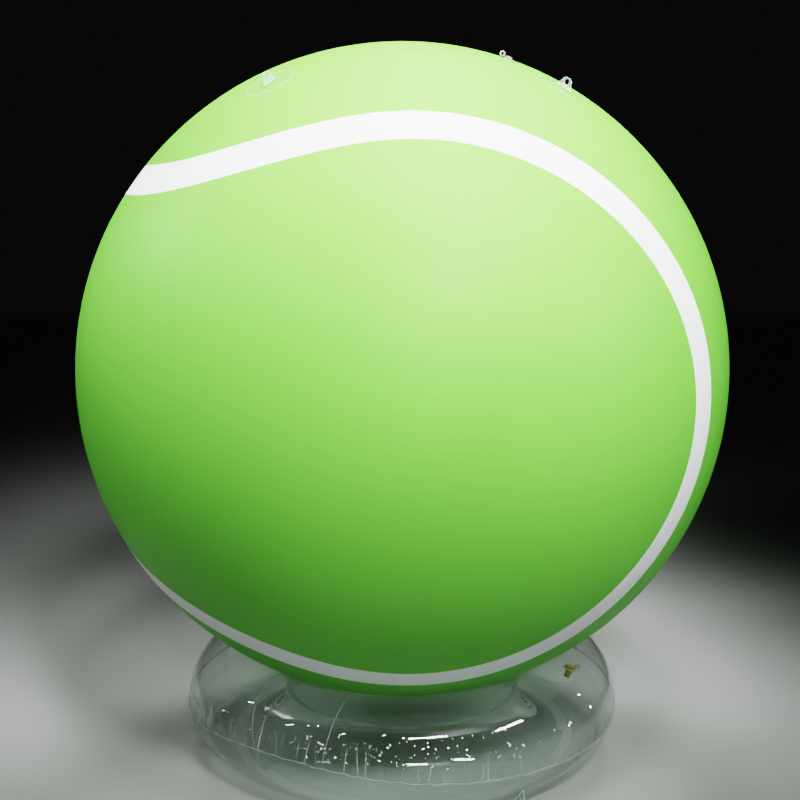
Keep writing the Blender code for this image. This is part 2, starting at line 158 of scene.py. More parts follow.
class RingSettings(bpy.types.PropertyGroup):
    """Sizes and finish of the clear ring."""

    tube: FloatProperty(
        name="Tube radius", description="Radius of the inflated tube", default=0.14,
        unit="LENGTH")
    centre: FloatProperty(
        name="Ring radius", description="Radius of the tube's centre line", default=0.479,
        unit="LENGTH")
    height: FloatProperty(
        name="Seam height", description="Height of the two weld seams", default=0.138276,
        unit="LENGTH")
    inner_edge: FloatProperty(
        name="Inner weld", description="Radius of the inner weld seam's edge", default=0.327,
        unit="LENGTH")
    pleats: IntProperty(
        name="Pleats", description="Pleats above the outer seam", default=104, min=1)
    pleat_depth: FloatProperty(
        name="Pleat depth", description="Depth of the deepest pleat", default=0.0060,
        unit="LENGTH")
    ripple: FloatProperty(
        name="Ripple", description="Height of the outer weld's ripple", default=0.0017,
        unit="LENGTH")
    weld_lip: FloatProperty(
        name="Weld lip", description="How far the outer weld stands out of the tube",
        default=0.0034, unit="LENGTH")
    weld: FloatProperty(
        name="Weld thickness", description="Thickness of a weld seam", default=0.0012,
        unit="LENGTH")
    tint: FloatVectorProperty(
        name="Tint", description="Colour that light takes through one layer", size=4,
        subtype="COLOR", min=0, max=1, default=(0.93, 0.955, 0.95, 1.0))
    haze: FloatProperty(
        name="Haze", description="Share of light that the clear film scatters", default=0.03,
        min=0, max=1, subtype="FACTOR")


class FittingSettings(bpy.types.PropertyGroup):
    """Sizes and colours of the eyelet tabs and the valves."""

    tab_polar: FloatProperty(
        name="Tab angle", description="Angle of the crown tabs from the ball's top",
        default=math.radians(35), subtype="ANGLE")
    ring_tab_tilt: FloatProperty(
        name="Ring tab tilt", description="Angle of the ring's tabs round its tube",
        default=math.radians(-42), subtype="ANGLE")
    ball_patch: FloatProperty(
        name="Crown patch", description="Radius of a crown tab's patch", default=0.0675,
        unit="LENGTH")
    ring_patch: FloatProperty(
        name="Ring patch", description="Radius of a ring tab's patch", default=0.046,
        unit="LENGTH")
    patch: FloatProperty(
        name="Patch thickness", description="Thickness of a patch", default=0.0016,
        unit="LENGTH")
    base: FloatProperty(
        name="Plate base", description="Width of an eyelet plate at its foot", default=0.048,
        unit="LENGTH")
    top: FloatProperty(
        name="Plate height", description="Height of an eyelet plate", default=0.027,
        unit="LENGTH")
    eye: FloatProperty(
        name="Eye radius", description="Radius of the eye", default=0.0069, unit="LENGTH")
    eye_height: FloatProperty(
        name="Eye height", description="Height of the eye's centre", default=0.0167,
        unit="LENGTH")
    valve_flange: FloatProperty(
        name="Valve flange", description="Radius of a valve's flange", default=0.017,
        unit="LENGTH")
    valve_neck: FloatProperty(
        name="Valve neck", description="Outer radius of a valve's neck", default=0.0085,
        unit="LENGTH")
    valve_bore: FloatProperty(
        name="Valve bore", description="Inner radius of a valve's neck", default=0.006,
        unit="LENGTH")
    clear: FloatVectorProperty(
        name="Clear moulding", description="Colour of the clear eyelet plates", size=4,
        subtype="COLOR", min=0, max=1, default=(0.80, 0.90, 0.88, 1.0))
    vinyl: FloatVectorProperty(
        name="Valve vinyl", description="Colour of the valves", size=4, subtype="COLOR",
        min=0, max=1, default=(0.34, 0.30, 0.25, 1.0))
    aged_vinyl: FloatVectorProperty(
        name="Ring valve vinyl", description="Colour of the ring's yellowed valve", size=4,
        subtype="COLOR", min=0, max=1, default=(0.36, 0.34, 0.17, 1.0))


class StageSettings(bpy.types.PropertyGroup):
    """Floor, light and camera."""

    floor: FloatVectorProperty(
        name="Floor", description="Colour of the floor", size=4, subtype="COLOR",
        min=0, max=1, default=(0.46, 0.47, 0.46, 1.0))
    surround: FloatVectorProperty(
        name="Surround", description="Colour of the studio round the object", size=4,
        subtype="COLOR", min=0, max=1, default=(0.010, 0.0105, 0.010, 1.0))
    distance: FloatProperty(
        name="Camera distance", description="From the ball's centre to the camera",
        default=3.06, unit="LENGTH")
    elevation: FloatProperty(
        name="Camera elevation", description="Height of the view over level",
        default=math.radians(5.5), subtype="ANGLE")
    lens: FloatProperty(
        name="Lens", description="Focal length on a 36 mm sensor, in millimetres",
        default=47.85)
    shift: FloatVectorProperty(
        name="Shift", description="Shift of the frame, as shares of its width", size=2,
        default=(-0.0029, -0.0396))


# Meshes from grids of points

def finished(piece, material, slot, *nodes):
    """Give a piece its material and body, let it stand for its CAD nodes. The slot isn't used.
    """
    piece.data.materials.append(material)
    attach(piece, BODY)
    if nodes:
        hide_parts(*nodes)


def surface(name, points, wrap_columns=False, values=None):
    """Make a piece from a grid of points.

    The first axis of the grid always closes on itself. The second closes when wrap_columns
    is true. Points that coincide, as at a pole, are merged. A closed piece whose signed
    volume is negative is turned round, so its faces point outwards. Values, one for each
    point or for a whole row, column or piece, are kept as the attribute "crease", which
    also sets where the film is painted milky white as a highlight.
    """
    rows, columns = points.shape[:2]
    index = np.arange(rows * columns).reshape(rows, columns)
    index = np.vstack([index, index[:1]])
    if wrap_columns:
        index = np.hstack([index, index[:, :1]])
    corners = np.stack([index[:-1, :-1], index[1:, :-1], index[1:, 1:], index[:-1, 1:]], -1)
    corners = corners.reshape(-1, 4)
    flat = points.reshape(-1, 3)
    a, b, c, d = (flat[corners[:, k]] for k in range(4))
    if (a * (np.cross(b, c) + np.cross(c, d))).sum() < 0:
        corners = corners[:, ::-1]
    mesh = bpy.data.meshes.new(name)
    mesh.vertices.add(len(flat))
    mesh.vertices.foreach_set("co", flat.astype(np.float32).ravel())
    mesh.loops.add(corners.size)
    mesh.loops.foreach_set("vertex_index", corners.astype(np.int32).ravel())
    mesh.polygons.add(len(corners))
    mesh.polygons.foreach_set("loop_start", np.arange(0, corners.size, 4, dtype=np.int32))
    mesh.update(calc_edges=True)
    if values is not None:
        values = np.broadcast_to(values, points.shape[:2]).astype(np.float32)
        mesh.attributes.new("crease_and_highlight", "FLOAT", "POINT").data.foreach_set("value", values.ravel())
    merged = bmesh.new()
    merged.from_mesh(mesh)
    bmesh.ops.remove_doubles(merged, verts=merged.verts[:], dist=WELD_DISTANCE)
    merged.to_mesh(mesh)
    merged.free()
    mesh.polygons.foreach_set("use_smooth", np.ones(len(mesh.polygons), bool))
    piece = bpy.data.objects.new(name, mesh)
    bpy.context.scene.collection.objects.link(piece)
    return piece


def placed(matrix, points):
    """Carry an array of points through a 4 x 4 matrix."""
    matrix = np.array(matrix)
    return points @ matrix[:3, :3].T + matrix[:3, 3]


def round_turn(steps):
    """Angles round a full turn in even steps, the last one short of the first."""
    return np.linspace(0, FULL_TURN, steps, endpoint=False)


def eased(share, even):
    """A share that starts slowly: even times the share, and the rest times its cube."""
    return even * share + (1 - even) * share ** 3


def shaded(colour, factor):
    """An opaque colour times a factor."""
    return tuple(factor * part for part in colour[:3]) + (1.0,)


def unit(vectors):
    """Return vectors at length one."""
    return vectors / np.linalg.norm(vectors, axis=-1, keepdims=True)


def squared(angle, power):
    """Cosine and sine drawn towards a square: each keeps its sign and takes a power."""
    cos, sin = np.cos(angle), np.sin(angle)
    return (np.sign(cos) * np.abs(cos) ** power, np.sign(sin) * np.abs(sin) ** power)


def rounded(corners, radius, closed=True):
    """Round the corners of a flat outline.

    Each corner becomes a quadratic curve that starts and ends a radius away from it, or
    less beside a short side. The ends of an open outline stay where they are.
    """
    corners = np.array(corners, float)
    ahead = np.roll(corners, -1, 0) - corners
    length = np.linalg.norm(ahead, axis=1)
    before = np.roll(length, 1)
    reach = np.minimum(radius, 0.48 * np.minimum(length, before))[:, None]
    leave = corners + reach * ahead / np.maximum(length, TINY)[:, None]
    meet = corners - reach * np.roll(ahead, 1, 0) / np.maximum(before, TINY)[:, None]
    t = np.linspace(0, 1, 5)[None, :, None]
    curve = (1 - t) ** 2 * meet[:, None] + 2 * t * (1 - t) * corners[:, None]
    curve = curve + t ** 2 * leave[:, None]
    if closed:
        return curve.reshape(-1, 2)
    return np.vstack([corners[:1], curve[1:-1].reshape(-1, 2), corners[-1:]])


def lathed(profile):
    """Turn an outline of radius and height about the Y axis: (r cos a, h, r sin a)."""
    angle = round_turn(LATHE_STEPS)[:, None]
    radius, height = profile.T[:, None]
    return np.stack([radius * np.cos(angle), height + 0 * angle, radius * np.sin(angle)], -1)


# Materials

class Wire:
    """A value on its way through a material. Arithmetic on it adds Math nodes."""

    def __init__(self, paint, socket):
        self.paint = paint
        self.socket = socket

    def math(self, operation, *values, clamp=False):
        """Add one Math node and return its result."""
        settings = {"operation": operation, "use_clamp": clamp}
        return self.paint.add("ShaderNodeMath", settings, dict(enumerate(values)))

    def __add__(self, other):
        return self.math("ADD", self, other)

    def __radd__(self, other):
        return self.math("ADD", other, self)

    def __sub__(self, other):
        return self.math("SUBTRACT", self, other)

    def __rsub__(self, other):
        return self.math("SUBTRACT", other, self)

    def __mul__(self, other):
        return self.math("MULTIPLY", self, other)

    def __rmul__(self, other):
        return self.math("MULTIPLY", other, self)

    def __truediv__(self, other):
        return self.math("DIVIDE", self, other)

    def __pow__(self, other):
        return self.math("POWER", self, other)

    def clamped(self):
        """The same value, held between 0 and 1."""
        return self.math("ADD", self, 0.0, clamp=True)

    def step(self, low, high):
        """0 below low, 1 above high, and a smooth rise between them."""
        settings = {"interpolation_type": "SMOOTHSTEP"}
        values = {"Value": self, "From Min": low, "From Max": high}
        return self.paint.add("ShaderNodeMapRange", settings, values)


class Paint:
    """One material and the nodes in it."""

    def __init__(self, name):
        self.material = bpy.data.materials.new(name)
        self.material.use_nodes = True
        self.tree = self.material.node_tree
        self.tree.nodes.clear()

    def add(self, kind, settings, values, output=0):
        """Add a node: its settings first, then its sockets' values or links.

        Returns the output of that name or number as a Wire, or None where it has none.
        """
        node = self.tree.nodes.new(kind)
        for name, value in settings.items():
            setattr(node, name, value)
        for name, value in values.items():
            if isinstance(value, Wire):
                self.tree.links.new(value.socket, node.inputs[name])
            else:
                node.inputs[name].default_value = value
        return Wire(self, node.outputs[output]) if node.outputs else None

    def noise(self, scale, detail=2.0, rough=0.5):
        """A noise value from 0 to 1, its grain 1 / scale metres across."""
        place = self.add("ShaderNodeTexCoord", {}, {}, "Object")
        values = {"Vector": place, "Scale": scale, "Detail": detail, "Roughness": rough}
        return self.add("ShaderNodeTexNoise", {}, values)

    def blend(self, share, first, second):
        """A colour between two others. The Mix node's colour sockets are 6, 7 and 2."""
        settings = {"data_type": "RGBA"}
        return self.add("ShaderNodeMix", settings, {0: share, 6: first, 7: second}, 2)

    def mixed(self, share, first, second):
        """A shader between two others."""
        return self.add("ShaderNodeMixShader", {}, {0: share, 1: first, 2: second})

    def bump(self, height, distance, strength=1.0):
        """A normal from a height that is worth a distance in metres."""
        values = {"Height": height, "Distance": distance, "Strength": strength}
        return self.add("ShaderNodeBump", {}, values)

    def principled(self, values):
        """A Principled shader."""
        return self.add("ShaderNodeBsdfPrincipled", {}, values)

    def finish(self, shader):
        """Link the shader to the material's output and return the material."""
        self.add("ShaderNodeOutputMaterial", {}, {"Surface": shader})
        return self.material


def film_paint(name, colour, deep, roughness):
    """Satin welded vinyl film: a faint drift of colour, orange peel and rubbed patches."""
    paint = Paint(name)
    drift = paint.noise(1.7, 3.0).step(0.35, 0.70)
    peel = paint.noise(115.0, 2.0)
    slack = paint.noise(6.0, 2.0)
    rubbed = paint.noise(9.0, 6.0, 0.65).step(0.52, 0.74)
    return paint.finish(paint.principled({
        "Base Color": paint.blend(drift, colour, deep),
        "Roughness": rubbed * 0.05 + roughness,
        "Normal": paint.bump(peel * 0.35 + slack, 0.0006, 0.35),
        "IOR": 1.5,
        "Specular IOR Level": 0.4,
    }))


def clear_paint(name, tint, haze, gloss=1.0, milk_and_highlight=0.0, satin=0.012):
    """Clear glossy film.

    What isn't reflected passes straight through. The share that is reflected is R =
    0.04 + 0.96 (1 - cos)^5 at one face and 2R / (1 + R) at both, times the gloss. Creases,
    cloudy haze and a milky share paint part of the film milky white: partly the whitening of
    folded and welded vinyl, partly a painted highlight along creases, welds and edges.
    Satin is the gloss's least roughness.
    """
    paint = Paint(name)
    facing_away = paint.add("ShaderNodeLayerWeight", {}, {"Blend": 0.5}, "Facing")
    one_face = facing_away ** 5.0 * 0.96 + 0.04
    both_faces = one_face * 2.0 / (one_face + 1.0) * gloss
    # Share along creases, beads and edges: rougher, glossier, and painted milky as a highlight
    crease_and_highlight = paint.add("ShaderNodeAttribute", {"attribute_name": "crease_and_highlight"}, {}, "Fac")
    cloud = paint.noise(38.0, 5.0, 0.6)
    mirror = paint.principled({
        "Base Color": (0.97, 0.98, 0.98, 1.0),
        "Metallic": 1.0,
        "Roughness": crease_and_highlight * 0.06 + satin,
        "Normal": paint.bump(paint.noise(22.0, 2.0), 0.0005, 0.08),
    })
    # Milky white film: partly the whitening of folded vinyl, partly a painted highlight
    whitened_film_and_highlight = paint.principled({
        "Base Color": (0.88, 0.92, 0.91, 1.0),
        "Roughness": crease_and_highlight * 0.10 + 0.22,
    })
    through = paint.add("ShaderNodeBsdfTransparent", {}, {"Color": tint})
    film = paint.mixed((both_faces + crease_and_highlight * 0.10).clamped(), through, mirror)
    # Share painted milky white: partly whitening, partly painted highlight, plus random haze
    milky = (crease_and_highlight ** 1.4 * 0.50 + cloud * haze + milk_and_highlight).clamped()
    return paint.finish(paint.mixed(milky, film, whitened_film_and_highlight))


def vinyl_paint(name, colour):
    """Soft moulded vinyl of a valve, darker and rougher in patches, with a fine grain."""
    paint = Paint(name)
    grime = paint.noise(240.0, 4.0).step(0.45, 0.75)
    return paint.finish(paint.principled({
        "Base Color": paint.blend(grime, tuple(colour), shaded(colour, 0.86)),
        "Roughness": grime * 0.12 + 0.36,
        "Normal": paint.bump(paint.noise(900.0, 2.0), 0.0002, 0.3),
        "Subsurface Weight": 0.15,
        "Subsurface Scale": 0.004,
    }))


# The ball's film

def even_line(ball, turn):
    """Unit directions on the even curve of a stripe.

    x = a cos t + b cos 3t, y = a sin t - b sin 3t, z = c sin 2t + d sin 6t, at length one.
    """
    a, b = ball.stripe_swing
    c, d = ball.stripe_height
    return unit(np.stack([a * np.cos(turn) + b * np.cos(3 * turn),
                          a * np.sin(turn) - b * np.sin(3 * turn),
                          c * np.sin(2 * turn) + d * np.sin(6 * turn)], -1))


def beside(ball, line, turn, offset):
    """Unit directions beside a line: each is turned sideways by offset / radius."""
    step = 1e-3
    middle = line(ball, turn)
    along = line(ball, turn + step) - line(ball, turn - step)
    side = unit(np.cross(middle, along))
    angle = offset / ball.radius
    return middle * np.cos(angle) + side * np.sin(angle)


def stripe_middle(ball, turn):
    """The even curve, drifting sideways in a Gaussian bump on each side of its rear bend."""
    from_bend = np.abs((turn - 0.5 * math.pi) % FULL_TURN - math.pi)
    bump = np.exp(-((from_bend - ball.pinch_place) / ball.pinch_spread) ** 2)
    return beside(ball, even_line, turn, ball.pinch * bump[..., None])


def panel_directions(ball, turn, share, pole):
    """Unit directions on the panel over a pole, on great circles from its middle to its edge.

    The middle line is an arc over the pole that is walked to and fro.
    """
    angle = ball.spine_swing * np.cos(turn + pole * math.pi / 4)[..., None]
    across = np.array([1.0, -pole, 0.0]) / math.sqrt(2)
    spine = np.array([0.0, 0.0, pole]) * np.cos(angle) + across * np.sin(angle)
    edge = beside(ball, stripe_middle, turn, pole * ball.stripe_half_width)
    reach = np.arccos(np.clip((spine * edge).sum(-1, keepdims=True), -1, 1))
    near, far = np.sin((1 - share) * reach), np.sin(share * reach)
    return unit(near * spine + far * edge)


def film_shell(ball, name, directions, band):
    """Close a grid of directions into a film: its outer skin, its edge and its inner skin.

    A band has an edge on both sides. A panel's other side is its middle line, where its
    halves meet, so it gets no wall there. The shading normals are the ball's own, outwards
    on the outer skin and inwards on the inner one.
    """
    skin = np.concatenate([directions * ball.radius,
                           directions[:, ::-1] * (ball.radius - ball.wall)], 1)
    turn = np.array(Euler(ball.turn, "XYZ").to_matrix())
    centre = np.array([0.0, 0.0, ball.height])
    piece = surface(name, skin @ turn.T + centre, wrap_columns=band)
    mesh = piece.data
    spots = np.empty(3 * len(mesh.vertices), np.float32)
    mesh.vertices.foreach_get("co", spots)
    rays = spots.reshape(-1, 3) - centre
    length = np.linalg.norm(rays, axis=1, keepdims=True)
    side = np.where(length > ball.radius - ball.wall / 2, 1.0, -1.0)
    mesh.normals_split_custom_set_from_vertices((rays / length * side).tolist())
    return piece


class CROWDBALL_OT_envelope(bpy.types.Operator):
    """Build the ball's two lime panels and its white stripe"""

    bl_idname = "crowdball.envelope"
    bl_label = "Ball film"

    def execute(self, context):
        ball = context.scene.crowd_ball
        turn = round_turn(BALL_STEPS)[:, None]
        share = np.linspace(0, 1, PANEL_STEPS)[None, :, None]
        lime = film_paint("lime_film", tuple(ball.lime), tuple(ball.lime_deep), ball.roughness)
        for letter, pole in (("a", 1.0), ("b", -1.0)):
            panel = panel_directions(ball, turn, share, pole)
            piece = film_shell(ball, f"ball_panel_{letter}", panel, False)
            finished(piece, lime, "lime_film", f"envelope_panel_{letter}")
        offset = np.linspace(-1, 1, STRIPE_STEPS)[None, :, None] * ball.stripe_half_width
        stripe = beside(ball, stripe_middle, turn, offset)
        white = film_paint("white_film", tuple(ball.white), shaded(ball.white, 0.97),
                           ball.roughness)
        piece = film_shell(ball, "ball_stripe", stripe, True)
        finished(piece, white, "white_film", "envelope_stripe")
        return {"FINISHED"}


# The clear ring

def wave(angle, rows):
    """Sum of sines: each row is a size, a whole number of waves a turn, and a phase."""
    return sum(size * np.sin(count * angle + phase) for size, count, phase in rows)


def seam_tilt(angle):
    """Where the outer seam lies round the tube: it wanders, as fitted, by a sum of sines."""
    return wave(angle, SEAM_WAVES) + SEAM_LEVEL


def seam_ripple(ring, angle):
    """Height of the outer seam over its own line: three sines with uneven spacing."""
    return ring.ripple * wave(angle + wave(angle, RIPPLE_WARP), RIPPLE_WAVES)


def pleat_table(ring):
    """Rows of pleats: azimuth, depth, reach up the tube, half width, lean and fork.

    They are uneven but always the same. The last rows are the long folds.
    """
    draw = np.random.default_rng(23)
    count = ring.pleats
    azimuth = (np.arange(count) + draw.uniform(-0.42, 0.42, count)) * FULL_TURN / count
    size = draw.uniform(0.25, 1.0, count) ** 1.3
    reach = 0.16 + 0.20 * size + draw.uniform(0.0, 0.16, count)
    width = draw.uniform(0.0060, 0.0105, count) * (0.75 + 0.5 * size)
    lean = draw.uniform(-0.05, 0.05, count)
    fork = draw.uniform(0.3, 1.0, count) * draw.choice([-1.0, 1.0], count)
    rows = np.stack([azimuth, size * ring.pleat_depth, reach, width, lean, fork], -1)
    folds = np.array(FOLDS)
    folds[:, 0] = np.radians(folds[:, 0])
    return np.concatenate([rows, folds])


def film_depth(ring, angle, tilt):
    """How far the film lies inside a true tube, and how creased it is, which paints a highlight.

    Each pleat is a fold exp(-(|x| / width)^1.25) across, whose depth ends with the height
    over the seam as exp(-(height / reach)^4) while it widens and leans. At its end it forks,
    and the film is dented beside it, by a Gaussian. Below the seam the pleats are short.
    Between them the film is gathered at the seam, and it sways and puckers in uneven waves,
    which also end over the seam.
    """
    height = tilt - seam_tilt(angle)
    above = np.where(height > 0, 1.0, 0.0)
    away = np.abs(height) * np.where(height > 0, 1.0, 2.4)
    weight = 0.78 + 0.22 * np.tanh(height / 0.03)
    depth = 0.0 * away
    crease_and_highlight = 0.0 * away
    for azimuth, size, reach, width, lean, fork in pleat_table(ring):
        across = (angle - azimuth - lean * away + math.pi) % FULL_TURN - math.pi
        near = np.abs(across[:, :1]) < 0.12
        fade = np.exp(-(away / reach) ** 4)
        spread = width * (0.70 + 0.9 * away / reach)
        fold = np.exp(-(np.abs(across) / spread) ** 1.25) * fade
        off_dent = across - fork * 0.013
        dent = np.exp(-(off_dent / 0.010) ** 2 - ((away - 0.85 * reach) / 0.045) ** 2) * above
        branch = np.abs(across - fork * 0.20 * (away - 0.55 * reach))
        split = np.exp(-branch / (0.6 * width) - ((away - 0.80 * reach) / 0.07) ** 2) * above
        part = np.where(near, fold + 0.75 * dent + 0.45 * split, 0.0)
        depth = depth + size * part
        # A thin milky line down each pleat: partly the fold's whitening, partly a painted
        # highlight
        crease_highlight_line = fade * np.exp(-(across / 0.0021) ** 2) * (0.25 + 0.75 * size / ring.pleat_depth)
        crease_and_highlight = np.maximum(crease_and_highlight, np.where(near, crease_highlight_line, 0.0))
    gather = (1 - np.abs(np.sin(0.5 * (229 * angle + wave(angle, GATHER_WARP))))) ** 2
    depth = weight * (depth + GATHER_DEPTH * gather * np.exp(-(away / 0.11) ** 2))
    sway = 1 + wave(angle, SWAY_WAVES)
    depth = depth + SWAY_DEPTH * weight * sway * np.exp(-(away / 0.9) ** 4)
    pucker = wave(angle + 0.04 * np.sin(9 * away + 0.7), PUCKER_WAVES)
    uneven = 0.65 + 0.35 * np.cos(12 * away + 5 * angle)
    depth = depth + PUCKER_DEPTH * weight * uneven * pucker * np.exp(-(away / 0.55) ** 3)
    return depth, np.clip(weight * crease_and_highlight, 0, 1)


def ring_angles():
    """Azimuths round the ring as a column: even steps less a sine, so the front is finer."""
    turn = round_turn(RING_STEPS)[:, None]
    return turn - FRONT_SHARE * np.sin(turn)


def tube_points(ring, angle, tilt, depth):
    """Points round the tube: the angle goes round the ring and the tilt round the tube."""
    reach = ring.tube - depth
    radius = ring.centre + reach * np.cos(tilt)
    height = ring.height + reach * np.sin(tilt)
    return np.stack([radius * np.sin(angle), -radius * np.cos(angle), height + 0 * angle], -1)


class CROWDBALL_OT_ring_film(bpy.types.Operator):
    """Build the ring's inflated film, pleated along its outer seam"""

    bl_idname = "crowdball.ring_film"
    bl_label = "Ring film"

    def execute(self, context):
        ring = context.scene.crowd_ring
        angle = ring_angles()
        seam = seam_tilt(angle)
        rise = np.linspace(0, 1, UPPER_STEPS)[None, :]
        fall = np.linspace(0, 1, LOWER_STEPS)[None, -2:0:-1]
        tilt = np.concatenate([seam + (math.pi - seam) * eased(rise, 0.32),
                               seam - (math.pi + seam) * eased(fall, 0.70)], 1)
        depth, crease_and_highlight = film_depth(ring, angle, tilt)
        points = tube_points(ring, angle, tilt, depth)
        lift = seam_ripple(ring, angle) * np.exp(-((tilt - seam) / 0.10) ** 2)
        points[..., 2] = np.maximum(points[..., 2] + lift, 0.0)
        # Creases are painted milky: partly the film's whitening, partly a painted highlight
        piece = surface("ring_film", points, True, crease_and_highlight)
        clear = clear_paint("clear_film", tuple(ring.tint), ring.haze)
        finished(piece, clear, "clear_film", "ring_panel_upper", "ring_panel_lower")
        return {"FINISHED"}


def bead(ring, angle, tilt, low, high, thick):
    """A narrow lip along the tube: a squared loop between two heights over it."""
    out, over = squared(round_turn(14)[None, :], 0.6)
    height = low + (high - low) * (0.5 + 0.5 * out)
    return tube_points(ring, angle, tilt + over * thick / (2 * ring.tube), -height)


def lap_points(ring, first, last, width=0.0022, proud=0.0006):
    """A lap across the film: a flattened loop carried from one spot on the tube to another.

    The azimuth goes evenly with the tilt. Its ends are drawn together to a point.
    """
    share = np.linspace(0, 1, 90)[None, :]
    azimuth = np.radians(first[0] + (last[0] - first[0]) * share)
    tilt = np.radians(first[1] + (last[1] - first[1]) * share)
    across, over = squared(round_turn(10)[:, None], 0.7)
    taper = np.sqrt(np.clip(1 - (2 * share - 1) ** 40, 0, 1))
    angle = azimuth + across * taper * width / (2 * (ring.centre + ring.tube * np.cos(tilt)))
    depth = film_depth(ring, angle, tilt + 0 * angle)[0]
    return tube_points(ring, angle, tilt, depth - over * taper * proud)


class CROWDBALL_OT_ring_welds(bpy.types.Operator):
    """Build the ring's outer and inner weld seams and the laps across its film"""

    bl_idname = "crowdball.ring_welds"
    bl_label = "Ring welds"

    def execute(self, context):
        ring = context.scene.crowd_ring
        # Welds and laps are painted milky: partly welded vinyl's whitening, partly a painted
        # highlight
        clear = clear_paint("clear_weld", tuple(ring.tint), ring.haze, 1.0, 0.12, 0.10)
        angle = ring_angles()
        level = seam_tilt(angle)
        depth, crease_and_highlight = film_depth(ring, angle, level + 1e-6)
        ripple = seam_ripple(ring, angle) + 0.0007 * wave(angle, WELD_WAVES)
        lip = ring.weld_lip + 0.0006 * wave(angle, LIP_WAVES)
        points = bead(ring, angle, level + ripple / ring.tube, -depth - 0.001, lip, ring.weld)
        pieces = [surface("ring_outer_weld", points, True, 0.25 * crease_and_highlight)]
        angle = round_turn(INNER_WELD_STEPS)[:, None]
        inner = ring.centre - ring.tube - ring.inner_edge
        lip = abs(inner) + 0.0005 * wave(angle, INNER_LIP_WAVES)
        flat = 0.004 * wave(angle, INNER_WELD_WAVES)
        points = bead(ring, angle, math.pi + flat, -0.001, lip, ring.weld)
        pieces.append(surface("ring_inner_weld", points, True, 0.2))
        for number, (first, last) in enumerate(LAPS, 1):
            points = lap_points(ring, first, last)
            pieces.append(surface(f"ring_lap_{number}", points, values=0.1))
        for piece in pieces:
            finished(piece, clear, "clear_film")
        return {"FINISHED"}


# Seats of the fittings

def facing(azimuth):
    """Unit direction at an azimuth in degrees from the front, towards +X."""
    angle = math.radians(azimuth)
    return Vector((math.sin(angle), -math.cos(angle), 0.0))


def seat(centre, azimuth, tilt, reach, twist):
    """Matrix with X down along a round film, Y out of it and its origin on it.

    The film is at a reach from the centre, and the tilt is its angle over level there.
    """
    out, up = facing(azimuth), Vector((0.0, 0.0, 1.0))
    normal = out * math.cos(tilt) + up * math.sin(tilt)
    along = out * math.sin(tilt) - up * math.cos(tilt)
    columns = Matrix((along, normal, along.cross(normal))).transposed()
    turn = Matrix.Rotation(math.radians(twist), 4, "Y")
    return Matrix.Translation(centre + normal * reach) @ columns.to_4x4() @ turn


def ball_seat(ball, azimuth, polar, height, twist=0.0):
    """Seat at an angle from the ball's top and a height over its film."""
    centre = Vector((0.0, 0.0, ball.height))
    return seat(centre, azimuth, math.pi / 2 - polar, ball.radius + height, twist)


def ring_seat(ring, azimuth, tilt, height, twist=0.0):
    """Seat at a tilt round the ring's tube and a height over its film."""
    centre = facing(azimuth) * ring.centre + Vector((0.0, 0.0, ring.height))
    return seat(centre, azimuth, tilt, ring.tube + height, twist)


# Eyelet tabs

def on_tabs(kind, on_ball, on_ring):
    """What the two functions make of each tab's azimuth, by the name of its node."""
    places = (("ball", TAB_AZIMUTHS, on_ball), ("ring", RING_TAB_AZIMUTHS, on_ring))
    return {f"{owner}_tab_{kind}_{number}": make(azimuth)
            for owner, azimuths, make in places for number, azimuth in enumerate(azimuths, 1)}


def patch_sheet(radius, thickness):
    """Flat patch as (x, y, height, milk) arrays, its rim rounded and two beads near it.

    The sheet runs out from the middle over the top, round the rim and back underneath. The
    rim is a quarter ellipse and each bead a Gaussian of the reach. The fourth array is how
    white the beads are painted: partly the welded beads' whitening, partly a painted highlight.
    """
    angle = round_turn(PATCH_STEPS)[:, None]
    top = np.concatenate([np.linspace(0, 0.80, 9), np.linspace(0.82, 1.0, 19)])
    reach = np.concatenate([top, top[::-1]])[None, :]
    over_rim = np.clip((top - PATCH_RIM) / (1 - PATCH_RIM), 0, 1)
    lid = thickness * np.sqrt(np.clip(1 - over_rim ** 2, 0, 1))
    beads = 0.5 * sum(size * np.exp(-((top - place) / width) ** 2)
                      for place, width, size in PATCH_BEADS)
    height = np.concatenate([lid + thickness * beads, 0 * top])[None, :]
    # Beads painted milky white: partly the weld's whitening, partly a painted highlight
    milk_and_highlight = np.concatenate([1.2 * beads, 0 * top])[None, :]
    flat = radius * reach
    return flat * np.cos(angle), flat * np.sin(angle), height, milk_and_highlight


def ball_patch_points(ball, azimuth, polar, sheet):
    """Carry a flat patch on to the ball: distance from its middle becomes an arc."""
    x, y, height = sheet[:3]
    flat = np.hypot(x, y)
    angle = flat / ball.radius
    share = np.sin(angle) / np.maximum(flat, TINY)
    reach = (ball.radius + GAP + height)[..., None]
    local = np.stack([x * share, np.cos(angle), y * share], -1) * reach
    matrix = ball_seat(ball, azimuth, polar, -ball.radius)
    return placed(matrix, local)


def ring_patch_points(ring, azimuth, tilt, sheet):
    """Carry a flat patch on to the tube: x runs round the tube and y round the ring."""
    x, y, height = sheet[:3]
    radius = ring.centre + ring.tube * math.cos(tilt)
    angle = math.radians(azimuth) + y / radius
    round_tube = tilt + x / ring.tube
    depth = film_depth(ring, angle, round_tube)[0]
    return tube_points(ring, angle, round_tube, depth - GAP - height)


